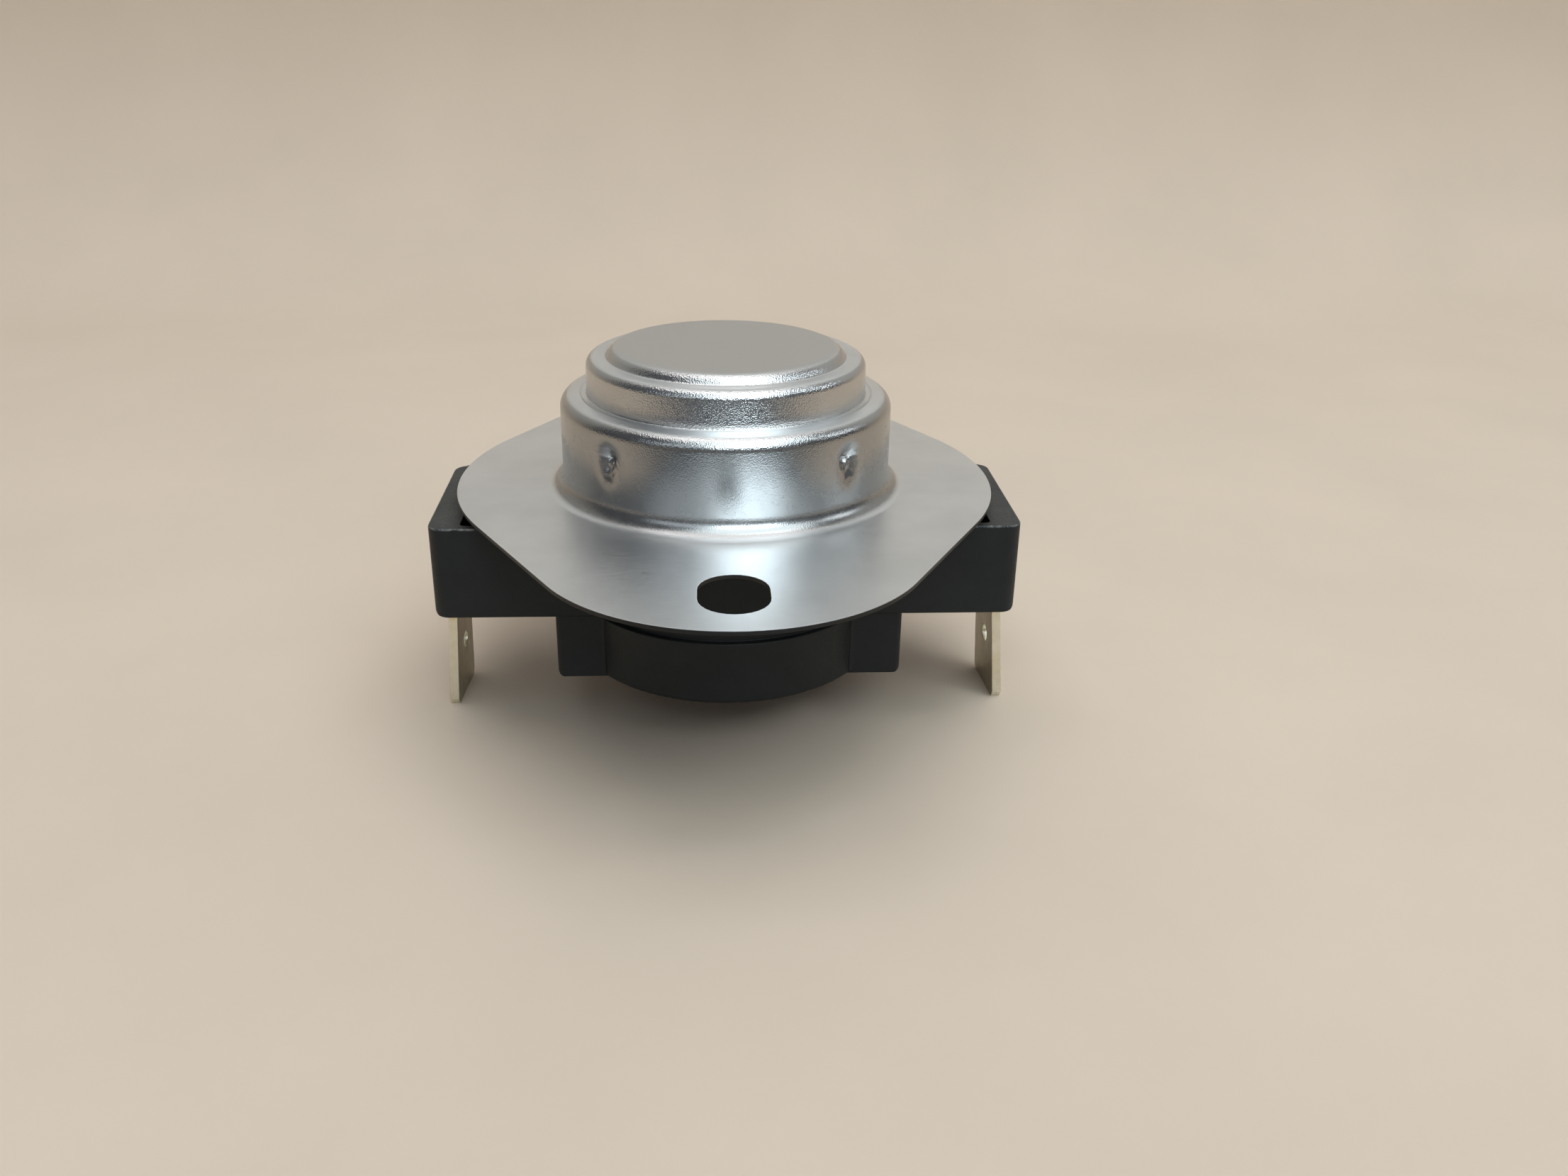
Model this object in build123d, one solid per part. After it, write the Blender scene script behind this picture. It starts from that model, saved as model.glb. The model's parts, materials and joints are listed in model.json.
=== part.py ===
from build123d import *
import math
import os

# Snap-disc temperature limit switch, in millimetres.
# Z is the axis of the cup and the terminal tips stand on z = 0. The wings and terminals run along X,
# and the mounting flange is long along Y.

FIT_GAP = 0.03  # gap left around strips and rivets that sit snugly in a neighbour
CUT_MARGIN = 1.0  # how far a cutting shape reaches past the stock it cuts

# Drawn cup: sheet, stepped head and base
SHEET = 0.35
HEAD_TOP_Z = 32.18
HEAD_STEP_Z = 31.4
HEAD_SHOULDER_Z = 28.4
FLANGE_TOP_Z = 20.48
PLATEAU_TOP_R = 9.52
PLATEAU_FOOT_R = 10.07
UPPER_WALL_R = 11.75
LOWER_WALL_R = 14.0
PLATEAU_SLOPE_INSET = 0.18
PLATEAU_EDGE_BEND = 1.0
PLATEAU_FOOT_BEND = 0.3
STEP_EDGE_BEND = 0.62
SHOULDER_FOOT_BEND = 0.2
SHOULDER_EDGE_BEND = 0.95
BASE_BEND = 1.0

# Mounting flange: a centre disc and two end discs joined by tangent lines, with two slots
FLANGE_MIDDLE_R = 22.9
FLANGE_END_R = 15.2
FLANGE_HALF_LENGTH = 30.9
FLANGE_JOIN_R = 18.8  # where the section of the drawn part runs into the flat flange
SLOT_WIDTH = 5.2
SLOT_LENGTH = 6.8
SLOT_PITCH = 49.6

# Stake dimples that hold the cup on the case
STAKE_Z = 25.7
STAKE_ANGLES = (45, 135, 225, 315)
STAKE_CENTRE_R = 14.1
STAKE_PUNCH_R = 0.8
STAKE_BULGE_R = 1.15

# Switch case
CASE_BOTTOM_Z = 5.1
BOSS_LEDGE_Z = 10.7
WING_BOTTOM_Z = 10.9
WING_TOP_Z = 18.9
COLLAR_BOTTOM_Z = 17.9
NECK_TOP_Z = 27.25
WING_HALF_LENGTH = 24.6
WING_HALF_WIDTH = 8.06
WING_CORNER_R = 1.3
WING_BOTTOM_CORNER_R = 0.5
BLOCK_HALF_LENGTH = 14.6
BLOCK_HALF_WIDTH = 7.75
BLOCK_TOP_Z = 12.2
BLOCK_CORNER_R = 0.5
BLOCK_BOTTOM_CORNER_R = 0.7
BOSS_R = 13.15
BOSS_EDGE_R = 0.4
UPPER_BOSS_R = 12.65
COLLAR_R = 14.6
NECK_R = 13.5
NECK_FOOT_R = 12.5
NECK_FOOT_HEIGHT = 1.0
STAKE_GROOVE_R = 12.65
STAKE_GROOVE_HALF_HEIGHT = 1.4
CHAMBER_R = 10.2
CHAMBER_FLOOR_Z = 7.1
POCKET_FLOOR_Z = 13.5
POCKET_WALL = 0.8
POCKET_INNER_X = 13.6
POCKET_OUTER_X = 22.0

# Terminals: 6.35 mm quick-connect blades bent down at the wing ends
TERMINAL_WIDTH = 6.35
TERMINAL_THICKNESS = 0.81
TAB_X = 23.7
TAB_TIP_TAPER_HEIGHT = 0.6
TAB_TIP_TAPER_WIDTH = 0.4
TAB_HOLE_Z = 5.2
TAB_HOLE_R = 0.8
TERMINAL_INNER_X = 15.0
TERMINAL_BEND_R = 1.0

# Rivets through the wing floors
RIVET_X = 17.2
RIVET_SHANK_R = 1.1
RIVET_HEAD_R = 1.9
RIVET_HEAD_HEIGHT = 0.7
RIVET_SINK_R = 2.3
RIVET_SINK_DEPTH = 1.0

# Brass brackets from the terminals into the chamber
BRACKET_THICKNESS = 0.8
BRACKET_WIDTH = 4.0
BRACKET_OUTER_X = 19.2
RISER_OUTER_X = 9.8

# Contact arm: a spring blade that turns about the end of its clamped foot
BLADE_THICKNESS = 0.26
BLADE_Z = 20.0
ARM_HINGE_X = -7.0
ARM_TIP_X = 6.6
ARM_FOOT_GAP = 0.02
ARM_SHELF_END_X = -7.2
ARM_RIVET_X = -8.05
ARM_RIVET_R = 0.6
ARM_RIVET_HEAD_R = 0.9
ARM_RIVET_HEAD_HEIGHT = 0.5
CLAMP_PLATE_THICKNESS = 0.5
CLAMP_PLATE_END_X = -7.15

# Contacts
CONTACT_X = 5.0
CONTACT_R = 1.4
CONTACT_HEIGHT = 0.72
CONTACT_GAP = 0.02
CONTACT_SHANK_R = 0.6
CONTACT_HEAD_R = 1.0
CONTACT_HEAD_HEIGHT = 0.4
CONTACT_CROWN_R = 0.15
FIXED_SHELF_END_X = 3.2

# Disc, pin and the stack inside the head
DISC_R = 9.52
DISC_THICKNESS = 0.25
DISC_RISE = 0.4
DISC_RIM_GAP = 0.02
SEAT_R = 10.9
SEAT_BORE_R = 8.7
SEAT_HEIGHT = 1.6
GASKET_THICKNESS = 0.25
GASKET_R = 13.3
GUIDE_HUB_R = 2.6
GUIDE_HUB_BOTTOM_Z = 24.3
PIN_R = 1.0
PIN_BORE_CLEARANCE = 0.06
PIN_TOP_GAP = 0.12
PIN_FOOT_GAP = 0.06
PIN_FOOT_ROUND = 0.6
PIN_TOP_ROUND = 0.3

# Heights that follow from the ones above
FLANGE_BOTTOM_Z = FLANGE_TOP_Z - SHEET
SEAT_TOP_Z = HEAD_STEP_Z - SHEET
SEAT_BOTTOM_Z = SEAT_TOP_Z - SEAT_HEIGHT
GUIDE_BOTTOM_Z = NECK_TOP_Z + GASKET_THICKNESS
STRIP_TOP_Z = POCKET_FLOOR_Z + TERMINAL_THICKNESS
BRACKET_TOP_Z = STRIP_TOP_Z + BRACKET_THICKNESS
BLADE_TOP_Z = BLADE_Z + BLADE_THICKNESS / 2
BLADE_BOTTOM_Z = BLADE_Z - BLADE_THICKNESS / 2
CONTACT_FACE_Z = BLADE_TOP_Z + CONTACT_HEIGHT
FIXED_FACE_Z = CONTACT_FACE_Z + CONTACT_GAP
FIXED_SHELF_Z = FIXED_FACE_Z + CONTACT_HEIGHT
DISC_RIM_Z = SEAT_TOP_Z + DISC_RIM_GAP
PIN_TOP_Z = DISC_RIM_Z + DISC_RISE - PIN_TOP_GAP
PIN_FOOT_Z = BLADE_TOP_Z + PIN_FOOT_GAP


def block(x_range, y_range, z_range):
    """A box from its lowest and highest corners."""
    size = [high - low for low, high in (x_range, y_range, z_range)]
    low_corner = (x_range[0], y_range[0], z_range[0])
    return Pos(*low_corner) * Box(*size, align=(Align.MIN, Align.MIN, Align.MIN))


def disc(radius, bottom_z, top_z, x=0):
    """An upright cylinder between two heights."""
    floor = (Align.CENTER, Align.CENTER, Align.MIN)
    return Pos(x, 0, bottom_z) * Cylinder(radius, top_z - bottom_z, align=floor)


def bent_strip(points, width):
    """A strip of constant width along Y, from its outline in X and Z."""
    outline = make_face(Polyline(*points, close=True))
    return extrude(Plane.XZ * outline, amount=width / 2, both=True)


def mirrored(x_range, side):
    """An X range on the side named by its sign, given as on the +X side."""
    low, high = x_range
    return (low, high) if side > 0 else (-high, -low)


def sheet_profile():
    """Section of the drawn sheet, from the axis down to the flange."""
    outer = [
        (0, HEAD_TOP_Z),
        (PLATEAU_TOP_R, HEAD_TOP_Z),
        (PLATEAU_FOOT_R, HEAD_STEP_Z),
        (UPPER_WALL_R, HEAD_STEP_Z),
        (UPPER_WALL_R, HEAD_SHOULDER_Z),
        (LOWER_WALL_R, HEAD_SHOULDER_Z),
        (LOWER_WALL_R, FLANGE_TOP_Z),
        (FLANGE_JOIN_R, FLANGE_TOP_Z),
    ]
    insets = [0] + 2 * [PLATEAU_SLOPE_INSET] + 4 * [SHEET]
    inner = [(r - inset, z - SHEET) for (r, z), inset in zip(outer, insets)]
    inner.append((FLANGE_JOIN_R, FLANGE_BOTTOM_Z))
    outer_bends = [
        PLATEAU_EDGE_BEND,
        PLATEAU_FOOT_BEND,
        STEP_EDGE_BEND,
        SHOULDER_FOOT_BEND,
        SHOULDER_EDGE_BEND,
        BASE_BEND,
    ]
    inner_bends = [
        PLATEAU_EDGE_BEND - SHEET,
        PLATEAU_FOOT_BEND + SHEET,
        STEP_EDGE_BEND - SHEET,
        SHOULDER_FOOT_BEND + SHEET,
        SHOULDER_EDGE_BEND - SHEET,
        BASE_BEND + SHEET,
    ]
    outer_line = FilletPolyline(*outer, radius=outer_bends)
    inner_line = FilletPolyline(*inner, radius=inner_bends)
    edges = outer_line.edges() + inner_line.edges()
    edges += [Line(outer[-1], inner[-1]), Line(outer[0], inner[0])]
    return make_face(edges)


def flange_outline():
    """Centre disc and end discs joined by their outer tangents."""
    reach = FLANGE_HALF_LENGTH - FLANGE_END_R
    lean = math.asin((FLANGE_MIDDLE_R - FLANGE_END_R) / reach)
    across, along = math.cos(lean), math.sin(lean)
    mid_x, mid_y = FLANGE_MIDDLE_R * across, FLANGE_MIDDLE_R * along
    end_x, end_y = FLANGE_END_R * across, reach + FLANGE_END_R * along
    edges = []
    for side in (1, -1):
        widest = (side * FLANGE_MIDDLE_R, 0)
        farthest = (0, side * FLANGE_HALF_LENGTH)
        edges.append(ThreePointArc((side * mid_x, -mid_y), widest, (side * mid_x, mid_y)))
        edges.append(ThreePointArc((end_x, side * end_y), farthest, (-end_x, side * end_y)))
        for end in (1, -1):
            edges.append(Line((side * mid_x, end * mid_y), (side * end_x, end * end_y)))
    return make_face(edges)


def mounting_cup():
    """Drawn aluminium cup with its oval flange, slots and stake dimples."""
    flange = extrude(Pos(0, 0, FLANGE_BOTTOM_Z) * flange_outline(), amount=SHEET)
    flange -= disc(LOWER_WALL_R + BASE_BEND + SHEET, FLANGE_BOTTOM_Z - SHEET, FLANGE_TOP_Z + SHEET)
    cup = flange + revolve(Plane.XZ * sheet_profile(), Axis.Z)
    slot = Rot(0, 0, 90) * SlotOverall(SLOT_LENGTH, SLOT_WIDTH)
    slot = extrude(slot, amount=CUT_MARGIN, both=True)
    for side in (1, -1):
        cup -= Pos(0, side * SLOT_PITCH / 2, FLANGE_TOP_Z) * slot
    wall_band = disc(LOWER_WALL_R - SHEET / 2, FLANGE_TOP_Z, HEAD_SHOULDER_Z - SHEET)
    for angle in STAKE_ANGLES:
        place = Rot(0, 0, angle) * Pos(STAKE_CENTRE_R, 0, STAKE_Z)
        cup += place * Sphere(STAKE_BULGE_R) & wall_band
    for angle in STAKE_ANGLES:
        cup -= Rot(0, 0, angle) * Pos(STAKE_CENTRE_R, 0, STAKE_Z) * Sphere(STAKE_PUNCH_R)
    return cup


def rounded_bar(half_length, half_width, bottom_z, top_z, corner_r, bottom_r):
    """Bar along X with rounded upright corners and rounded bottom end edges."""
    bar = block((-half_length, half_length), (-half_width, half_width), (bottom_z, top_z))
    bar = fillet(bar.edges().filter_by(Axis.Z), corner_r)
    ends = [
        edge
        for edge in bar.edges().filter_by(Axis.Y)
        if abs(edge.center().Z - bottom_z) < bottom_r and abs(edge.center().X) > half_length - bottom_r
    ]
    return fillet(ends, bottom_r)


def switch_case():
    """Moulded case: wings, block, round boss, neck inside the cup, chamber and wing pockets."""
    case = rounded_bar(
        WING_HALF_LENGTH,
        WING_HALF_WIDTH,
        WING_BOTTOM_Z,
        WING_TOP_Z,
        WING_CORNER_R,
        WING_BOTTOM_CORNER_R,
    )
    case += rounded_bar(
        BLOCK_HALF_LENGTH,
        BLOCK_HALF_WIDTH,
        CASE_BOTTOM_Z,
        BLOCK_TOP_Z,
        BLOCK_CORNER_R,
        BLOCK_BOTTOM_CORNER_R,
    )
    boss = disc(BOSS_R, CASE_BOTTOM_Z, BOSS_LEDGE_Z)
    case += fillet(boss.edges().sort_by(Axis.Z)[0], BOSS_EDGE_R)
    case += disc(UPPER_BOSS_R, BOSS_LEDGE_Z, COLLAR_BOTTOM_Z)
    case += disc(COLLAR_R, COLLAR_BOTTOM_Z, FLANGE_BOTTOM_Z)
    neck_foot_top = FLANGE_BOTTOM_Z + NECK_FOOT_HEIGHT
    case += disc(NECK_FOOT_R, FLANGE_BOTTOM_Z, neck_foot_top)
    case += disc(NECK_R, neck_foot_top, NECK_TOP_Z)
    groove_low = STAKE_Z - STAKE_GROOVE_HALF_HEIGHT
    groove_high = STAKE_Z + STAKE_GROOVE_HALF_HEIGHT
    groove = disc(NECK_R + CUT_MARGIN, groove_low, groove_high)
    case -= groove - disc(STAKE_GROOVE_R, groove_low, groove_high)
    case -= disc(CHAMBER_R, CHAMBER_FLOOR_Z, NECK_TOP_Z)
    pocket_half_width = WING_HALF_WIDTH - POCKET_WALL
    strip_half_width = TERMINAL_WIDTH / 2 + FIT_GAP
    window_half_width = BRACKET_WIDTH / 2 + FIT_GAP
    tab_outer_x = TAB_X + TERMINAL_THICKNESS / 2 + FIT_GAP
    tab_inner_x = TAB_X - TERMINAL_THICKNESS / 2 - FIT_GAP
    for side in (1, -1):
        case -= block(
            mirrored((POCKET_INNER_X, POCKET_OUTER_X), side),
            (-pocket_half_width, pocket_half_width),
            (POCKET_FLOOR_Z, WING_TOP_Z),
        )
        case -= block(
            mirrored((POCKET_OUTER_X - FIT_GAP, tab_outer_x), side),
            (-strip_half_width, strip_half_width),
            (POCKET_FLOOR_Z, STRIP_TOP_Z + FIT_GAP),
        )
        case -= block(
            mirrored((tab_inner_x, tab_outer_x), side),
            (-strip_half_width, strip_half_width),
            (WING_BOTTOM_Z, STRIP_TOP_Z),
        )
        case -= block(
            mirrored((RISER_OUTER_X, POCKET_INNER_X + FIT_GAP), side),
            (-window_half_width, window_half_width),
            (STRIP_TOP_Z - FIT_GAP, BRACKET_TOP_Z + FIT_GAP),
        )
        case -= disc(RIVET_SHANK_R + FIT_GAP, WING_BOTTOM_Z, POCKET_FLOOR_Z, side * RIVET_X)
        case -= disc(RIVET_SINK_R, WING_BOTTOM_Z, WING_BOTTOM_Z + RIVET_SINK_DEPTH, side * RIVET_X)
    return case


def terminal(side):
    """L-shaped blade: strip on the pocket floor, and a tab down through the wing with a tapered tip."""
    outer_x = TAB_X + TERMINAL_THICKNESS / 2
    inner_x = TAB_X - TERMINAL_THICKNESS / 2
    half_width = TERMINAL_WIDTH / 2
    outline = [
        (TERMINAL_INNER_X, STRIP_TOP_Z),
        (outer_x, STRIP_TOP_Z),
        (outer_x, 0),
        (inner_x, 0),
        (inner_x, POCKET_FLOOR_Z),
        (TERMINAL_INNER_X, POCKET_FLOOR_Z),
    ]
    blade = bent_strip(outline, TERMINAL_WIDTH)
    outer_bend = [
        edge
        for edge in blade.edges().filter_by(Axis.Y)
        if edge.center().X > inner_x + FIT_GAP and edge.center().Z > POCKET_FLOOR_Z + FIT_GAP
    ]
    blade = fillet(outer_bend, TERMINAL_BEND_R)
    taper = [
        (half_width - TAB_TIP_TAPER_WIDTH, 0),
        (half_width, TAB_TIP_TAPER_HEIGHT),
        (half_width + CUT_MARGIN, TAB_TIP_TAPER_HEIGHT),
        (half_width + CUT_MARGIN, -CUT_MARGIN),
        (half_width - TAB_TIP_TAPER_WIDTH, -CUT_MARGIN),
    ]
    corner = make_face(Polyline(*taper, close=True))
    corner = extrude(Plane.YZ * corner, amount=outer_x + CUT_MARGIN)
    blade -= corner
    blade -= mirror(corner, Plane.XZ)
    hole = Rot(0, 90, 0) * Cylinder(TAB_HOLE_R, TERMINAL_THICKNESS + CUT_MARGIN)
    blade -= Pos(TAB_X, 0, TAB_HOLE_Z) * hole
    blade -= disc(RIVET_SHANK_R + FIT_GAP, POCKET_FLOOR_Z, STRIP_TOP_Z, RIVET_X)
    return blade if side > 0 else mirror(blade, Plane.YZ)


def terminal_rivets():
    """One rivet in each wing, headed in the sink below and on the bracket above."""
    rivets = []
    for side in (1, -1):
        low_head_z = WING_BOTTOM_Z + RIVET_SINK_DEPTH
        rivet = disc(RIVET_SHANK_R, low_head_z, BRACKET_TOP_Z, side * RIVET_X)
        rivet += disc(RIVET_HEAD_R, low_head_z - RIVET_HEAD_HEIGHT, low_head_z, side * RIVET_X)
        rivet += disc(RIVET_HEAD_R, BRACKET_TOP_Z, BRACKET_TOP_Z + RIVET_HEAD_HEIGHT, side * RIVET_X)
        rims = rivet.edges().filter_by(GeomType.CIRCLE).group_by(Axis.Z)
        rivets.append(fillet(rims[0] + rims[-1], RIVET_HEAD_HEIGHT / 2))
    return Compound(children=rivets)


def bracket(side, shelf_end_x, shelf_top_z):
    """Strip from the wing pocket through the chamber wall, up a riser and along a shelf inwards."""
    riser_inner_x = RISER_OUTER_X - BRACKET_THICKNESS
    outline = [
        (BRACKET_OUTER_X, STRIP_TOP_Z),
        (BRACKET_OUTER_X, BRACKET_TOP_Z),
        (RISER_OUTER_X, BRACKET_TOP_Z),
        (RISER_OUTER_X, shelf_top_z),
        (shelf_end_x, shelf_top_z),
        (shelf_end_x, shelf_top_z - BRACKET_THICKNESS),
        (riser_inner_x, shelf_top_z - BRACKET_THICKNESS),
        (riser_inner_x, STRIP_TOP_Z),
    ]
    strip = bent_strip(outline, BRACKET_WIDTH)
    strip -= disc(RIVET_SHANK_R + FIT_GAP, STRIP_TOP_Z, BRACKET_TOP_Z, RIVET_X)
    return strip if side > 0 else mirror(strip, Plane.YZ)


def arm_bracket():
    """Bracket from the left terminal to the foot of the contact arm."""
    low_z = BLADE_BOTTOM_Z - BRACKET_THICKNESS
    strip = bracket(-1, -ARM_SHELF_END_X, BLADE_BOTTOM_Z)
    return strip - disc(ARM_RIVET_R + FIT_GAP, low_z, BLADE_BOTTOM_Z, ARM_RIVET_X)


def fixed_bracket():
    """Bracket from the right terminal to the fixed contact."""
    top_z = FIXED_SHELF_Z + BRACKET_THICKNESS
    strip = bracket(1, FIXED_SHELF_END_X, top_z)
    return strip - disc(CONTACT_SHANK_R, FIXED_SHELF_Z, top_z, CONTACT_X)


def anchored_plate(end_x, bottom_z, top_z):
    """Plate on the arm shelf, pierced for the arm rivet."""
    half_width = BRACKET_WIDTH / 2
    plate = block((-RISER_OUTER_X, end_x), (-half_width, half_width), (bottom_z, top_z))
    return plate - disc(ARM_RIVET_R + FIT_GAP, bottom_z, top_z, ARM_RIVET_X)


def arm_foot():
    """Clamped end of the spring blade."""
    foot_end_x = ARM_HINGE_X - BLADE_THICKNESS / 2 - ARM_FOOT_GAP
    return anchored_plate(foot_end_x, BLADE_BOTTOM_Z, BLADE_TOP_Z)


def arm_clamp_plate():
    """Small plate that clamps the foot of the blade on its shelf."""
    return anchored_plate(CLAMP_PLATE_END_X, BLADE_TOP_Z, BLADE_TOP_Z + CLAMP_PLATE_THICKNESS)


def arm_rivet():
    """Rivet through clamp plate, blade foot and bracket shelf."""
    low_z = BLADE_BOTTOM_Z - BRACKET_THICKNESS
    high_z = BLADE_TOP_Z + CLAMP_PLATE_THICKNESS
    rivet = disc(ARM_RIVET_R, low_z, high_z, ARM_RIVET_X)
    rivet += disc(ARM_RIVET_HEAD_R, low_z - ARM_RIVET_HEAD_HEIGHT, low_z, ARM_RIVET_X)
    rivet += disc(ARM_RIVET_HEAD_R, high_z, high_z + ARM_RIVET_HEAD_HEIGHT, ARM_RIVET_X)
    rims = rivet.edges().filter_by(GeomType.CIRCLE).group_by(Axis.Z)
    return fillet(rims[0] + rims[-1], ARM_RIVET_HEAD_HEIGHT / 2)


def contact_arm():
    """Free length of the spring blade, round at the hinge line and at the tip."""
    half_width = BRACKET_WIDTH / 2
    blade = block((ARM_HINGE_X, ARM_TIP_X), (-half_width, half_width), (BLADE_BOTTOM_Z, BLADE_TOP_Z))
    tip = [edge for edge in blade.edges().filter_by(Axis.Z) if edge.center().X > 0]
    blade = fillet(tip, half_width / 2)
    root = Rot(90, 0, 0) * Cylinder(BLADE_THICKNESS / 2, BRACKET_WIDTH)
    blade += Pos(ARM_HINGE_X, 0, BLADE_Z) * root
    return blade - disc(CONTACT_SHANK_R, BLADE_BOTTOM_Z, BLADE_TOP_Z, CONTACT_X)


def contact(face_z, seat_z, back_z):
    """Contact rivet: crowned button on the seat, shank through the strip, head on its back."""
    low_z, high_z = sorted((face_z, seat_z))
    button = disc(CONTACT_R, low_z, high_z, CONTACT_X)
    crown = button.edges().filter_by(GeomType.CIRCLE).sort_by(Axis.Z)
    button = fillet(crown[0] if face_z < seat_z else crown[-1], CONTACT_CROWN_R)
    shank_low_z, shank_high_z = sorted((seat_z, back_z))
    button += disc(CONTACT_SHANK_R, shank_low_z, shank_high_z, CONTACT_X)
    outwards = math.copysign(CONTACT_HEAD_HEIGHT, back_z - seat_z)
    head_low_z, head_high_z = sorted((back_z, back_z + outwards))
    return button + disc(CONTACT_HEAD_R, head_low_z, head_high_z, CONTACT_X)


def moving_contact():
    """Contact on the arm, facing up."""
    return contact(CONTACT_FACE_Z, BLADE_TOP_Z, BLADE_BOTTOM_Z)


def fixed_contact():
    """Contact on the fixed bracket, facing down."""
    return contact(FIXED_FACE_Z, FIXED_SHELF_Z, FIXED_SHELF_Z + BRACKET_THICKNESS)


def bimetal_disc():
    """Shallow dome, centre towards the sensing face while cold."""
    radius = (DISC_R**2 + DISC_RISE**2) / (2 * DISC_RISE)
    centre_z = DISC_RIM_Z + DISC_RISE - radius
    ball = Pos(0, 0, centre_z) * Sphere(radius)
    blank = disc(DISC_R, DISC_RIM_Z - CUT_MARGIN, DISC_RIM_Z + CUT_MARGIN)
    return blank & (Pos(0, 0, DISC_THICKNESS) * ball) - ball


def disc_seat():
    """Ring that carries the rim of the disc."""
    ring = disc(SEAT_R, SEAT_BOTTOM_Z, SEAT_TOP_Z)
    return ring - disc(SEAT_BORE_R, SEAT_BOTTOM_Z, SEAT_TOP_Z)


def pin_guide():
    """Moulded plate with a hub whose bore guides the pin."""
    guide = disc(SEAT_R, GUIDE_BOTTOM_Z, SEAT_BOTTOM_Z)
    guide += disc(GUIDE_HUB_R, GUIDE_HUB_BOTTOM_Z, GUIDE_BOTTOM_Z)
    return guide - disc(PIN_R + PIN_BORE_CLEARANCE, GUIDE_HUB_BOTTOM_Z, SEAT_BOTTOM_Z)


def stack_gasket():
    """Fibre washer between the neck of the case and the pin guide."""
    washer = disc(GASKET_R, NECK_TOP_Z, GUIDE_BOTTOM_Z)
    return washer - disc(CHAMBER_R, NECK_TOP_Z, GUIDE_BOTTOM_Z)


def transfer_pin():
    """Ceramic pin, well rounded where it pushes the arm."""
    pin = disc(PIN_R, PIN_FOOT_Z, PIN_TOP_Z)
    rims = pin.edges().filter_by(GeomType.CIRCLE).sort_by(Axis.Z)
    pin = fillet(rims[0], PIN_FOOT_ROUND)
    return fillet(pin.edges().filter_by(GeomType.CIRCLE).sort_by(Axis.Z)[-1], PIN_TOP_ROUND)


PARTS = {
    "mounting_cup": mounting_cup(),
    "switch_case": switch_case(),
    "left_terminal": terminal(-1),
    "right_terminal": terminal(1),
    "terminal_rivets": terminal_rivets(),
    "arm_bracket": arm_bracket(),
    "fixed_bracket": fixed_bracket(),
    "arm_foot": arm_foot(),
    "arm_clamp_plate": arm_clamp_plate(),
    "arm_rivet": arm_rivet(),
    "contact_arm": contact_arm(),
    "moving_contact": moving_contact(),
    "fixed_contact": fixed_contact(),
    "transfer_pin": transfer_pin(),
    "pin_guide": pin_guide(),
    "disc_seat": disc_seat(),
    "bimetal_disc": bimetal_disc(),
    "stack_gasket": stack_gasket(),
}

os.makedirs("parts", exist_ok=True)
for name, shape in PARTS.items():
    export_step(shape, f"parts/{name}.step")
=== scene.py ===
import json
import math

import bmesh
import bpy
from mathutils import Matrix, Vector, noise


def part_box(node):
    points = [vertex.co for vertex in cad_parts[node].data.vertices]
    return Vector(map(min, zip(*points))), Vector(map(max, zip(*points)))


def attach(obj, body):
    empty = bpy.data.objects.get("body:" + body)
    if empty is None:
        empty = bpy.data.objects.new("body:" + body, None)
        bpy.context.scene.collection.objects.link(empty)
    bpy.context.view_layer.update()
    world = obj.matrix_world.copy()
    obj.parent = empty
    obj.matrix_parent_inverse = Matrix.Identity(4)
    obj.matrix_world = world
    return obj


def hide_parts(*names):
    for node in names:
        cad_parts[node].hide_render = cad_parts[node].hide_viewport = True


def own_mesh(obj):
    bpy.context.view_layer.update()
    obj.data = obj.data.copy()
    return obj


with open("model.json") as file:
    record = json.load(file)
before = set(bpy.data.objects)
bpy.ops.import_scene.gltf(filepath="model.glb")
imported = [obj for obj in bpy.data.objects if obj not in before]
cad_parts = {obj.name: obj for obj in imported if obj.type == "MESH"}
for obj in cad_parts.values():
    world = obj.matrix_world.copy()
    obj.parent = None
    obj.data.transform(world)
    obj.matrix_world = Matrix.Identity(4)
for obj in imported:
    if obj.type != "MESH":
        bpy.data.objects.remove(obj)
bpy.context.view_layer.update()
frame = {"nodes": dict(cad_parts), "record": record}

# Mesh code works in millimetres and each finished piece is scaled to metres.
MM = 0.001


def box_mm(node):
    """Lowest and highest corner of a CAD node, in millimetres."""
    low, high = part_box(node)
    return low / MM, high / MM


CUP_HIGH = box_mm("mounting_cup")[1]
CASE_LOW, CASE_HIGH = box_mm("switch_case")
TAB_LOW, TAB_HIGH = box_mm("right_terminal")
DISC_LOW, DISC_HIGH = box_mm("bimetal_disc")
RIVET_LOW, RIVET_HIGH = box_mm("terminal_rivets")

# Drawn cup. Bends are the radii of a section's corners, from the plateau to the flange.
SHEET = 0.35
HEAD_TOP = CUP_HIGH.z
HEAD_STEP = HEAD_TOP - 0.78
HEAD_SHOULDER = HEAD_TOP - 3.78
FLANGE_TOP = HEAD_TOP - 11.7
PLATEAU_R = 10.27
PLATEAU_TOP_INSET = 0.75
PLATEAU_FOOT_INSET = 0.2
PLATEAU_SHEET_INSET = 0.2
UPPER_R = 11.75
LEDGE_RUN = 0.42
LEDGE_LIP_RUN = 0.62
LEDGE_LIP_RISE = 0.03
LOWER_R = 14.0
LEDGE_DROP = 0.05
SHOULDER_DROP = 0.22
WALL_DRAFT = 0.02
OUTER_BENDS = (1.0, 0.3, 0.76, 0.14, 0.2, 0.3, 1.05, 1.45)
INNER_BENDS = (0.3, 0.6, 0.22, 0.7, 0.3, 1.4)
FLANGE_MIDDLE_R = CUP_HIGH.x
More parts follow.
